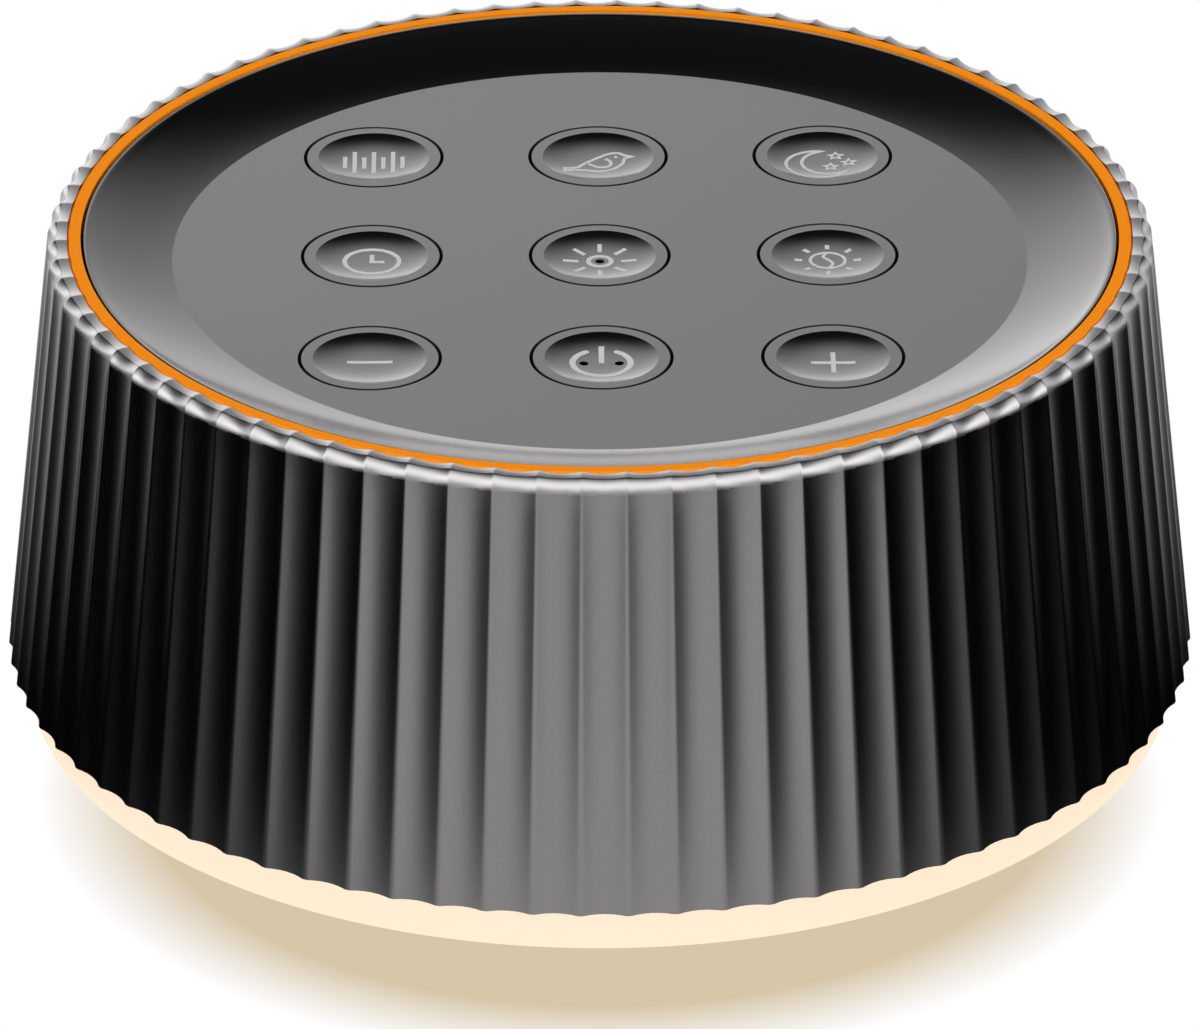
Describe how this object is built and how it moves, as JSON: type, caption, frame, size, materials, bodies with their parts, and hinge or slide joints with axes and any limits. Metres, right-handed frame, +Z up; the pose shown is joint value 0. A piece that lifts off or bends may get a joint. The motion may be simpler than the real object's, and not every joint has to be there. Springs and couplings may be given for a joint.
{
  "type": "white noise sound machine",
  "caption": "Round tapered bedside sound machine with a fluted casing, a dished top with push buttons, an accent ring and a night light ring round its base.",
  "frame": {"origin": "on the table, under the middle of the round casing, at the feet's underside", "axes": "+Z up along the casing's axis, -Y to the front, where the power button is nearest, +Y to the rear, where the power inlet is"},
  "size_m": [0.1098, 0.1098, 0.0477],
  "materials": {
    "casing": "satin metallic grey paint on moulded ABS",
    "accent": "satin orange ABS",
    "panel": "satin metallic grey paint on moulded ABS",
    "button": "satin metallic grey paint, with pale printed signs",
    "glow": "milky polycarbonate, lit warm white from inside",
    "base": "fine textured black ABS",
    "rubber": "matt black rubber",
    "silicone": "milky silicone rubber, lit from the night light ring",
    "switch": "black moulded nylon",
    "plunger": "pale moulded nylon",
    "circuit_board": "green solder mask on glass laminate",
    "white_board": "white solder mask on glass laminate",
    "screw": "zinc plated steel",
    "diode": "clear resin over yellow phosphor",
    "reflector": "white moulded plastic",
    "foam": "black foam",
    "basket": "black painted pressed steel",
    "plated_steel": "plated steel",
    "magnet": "dark ferrite",
    "paper": "black pressed paper",
    "copper": "enamelled copper wire on a paper former",
    "cloth": "resin-stiffened cloth",
    "terminal": "brown phenolic board with tags",
    "chip": "black epoxy",
    "capacitor": "aluminium can",
    "brass_pins": "gold plated brass pins in a black collar",
    "socket": "white nylon",
    "ribbon": "grey ribbon cable",
    "red_wire": "red insulated wire",
    "black_wire": "black insulated wire"
  },
  "bodies": {
    "root": {"accent_ring": "accent", "amplifier_chip": "chip", "base_cover": "base", "base_screws": "screw", "board_pins": "brass_pins", "button_board": "circuit_board", "button_board_screws": "screw", "button_ribbon_socket": "socket", "capacitors": "capacitor", "fluted_shell": "casing", "indicator_diodes": "diode", "light_board": "white_board", "light_diffuser": "glow", "light_diodes": "diode", "main_board": "circuit_board", "main_board_screws": "screw", "main_ribbon_socket": "socket", "panel_screws": "screw", "power_inlet_shell": "plated_steel", "power_inlet_tongue": "chip", "processor_chip": "chip", "reflector_ring": "reflector", "ribbon_cable": "ribbon", "rubber_feet": "silicone", "speaker_basket": "basket", "speaker_gasket": "foam", "speaker_lead_black": "black_wire", "speaker_lead_red": "red_wire", "speaker_lead_socket": "socket", "speaker_magnet": "magnet", "speaker_screws": "screw", "speaker_spider": "cloth", "speaker_surround": "rubber", "speaker_terminal": "terminal", "speaker_top_plate": "plated_steel", "speaker_washers": "screw", "speaker_yoke": "plated_steel", "tact_switches": "switch", "top_panel": "panel"},
    "button_sound": {"button_sound": "button", "switch_plunger_sound": "plunger"},
    "button_bird": {"button_bird": "button", "switch_plunger_bird": "plunger"},
    "button_moon": {"button_moon": "button", "switch_plunger_moon": "plunger"},
    "button_timer": {"button_timer": "button", "switch_plunger_timer": "plunger"},
    "button_light": {"button_light": "button", "switch_plunger_light": "plunger"},
    "button_colour": {"button_colour": "button", "switch_plunger_colour": "plunger"},
    "button_minus": {"button_minus": "button", "switch_plunger_minus": "plunger"},
    "button_power": {"button_power": "button", "switch_plunger_power": "plunger"},
    "button_plus": {"button_plus": "button", "switch_plunger_plus": "plunger"},
    "speaker_cone": {"speaker_cone": "paper", "dust_cap": "paper", "voice_coil": "copper"}
  },
  "joints": [
    {"name": "sound_press", "type": "slide", "parent": "root", "child": "button_sound", "axis": [0, 0, 1], "range_m": [-0.0006, 0], "stiffness_N_per_m": 1500},
    {"name": "bird_press", "type": "slide", "parent": "root", "child": "button_bird", "axis": [0, 0, 1], "range_m": [-0.0006, 0], "stiffness_N_per_m": 1500},
    {"name": "moon_press", "type": "slide", "parent": "root", "child": "button_moon", "axis": [0, 0, 1], "range_m": [-0.0006, 0], "stiffness_N_per_m": 1500},
    {"name": "timer_press", "type": "slide", "parent": "root", "child": "button_timer", "axis": [0, 0, 1], "range_m": [-0.0006, 0], "stiffness_N_per_m": 1500},
    {"name": "light_press", "type": "slide", "parent": "root", "child": "button_light", "axis": [0, 0, 1], "range_m": [-0.0006, 0], "stiffness_N_per_m": 1500},
    {"name": "colour_press", "type": "slide", "parent": "root", "child": "button_colour", "axis": [0, 0, 1], "range_m": [-0.0006, 0], "stiffness_N_per_m": 1500},
    {"name": "minus_press", "type": "slide", "parent": "root", "child": "button_minus", "axis": [0, 0, 1], "range_m": [-0.0006, 0], "stiffness_N_per_m": 1500},
    {"name": "power_press", "type": "slide", "parent": "root", "child": "button_power", "axis": [0, 0, 1], "range_m": [-0.0006, 0], "stiffness_N_per_m": 1500},
    {"name": "plus_press", "type": "slide", "parent": "root", "child": "button_plus", "axis": [0, 0, 1], "range_m": [-0.0006, 0], "stiffness_N_per_m": 1500},
    {"name": "cone_slide", "type": "slide", "parent": "root", "child": "speaker_cone", "axis": [0, 0, 1], "range_m": [-0.0005, 0.0005], "stiffness_N_per_m": 1000, "deforming": ["speaker_surround", "speaker_spider"]}
  ]
}
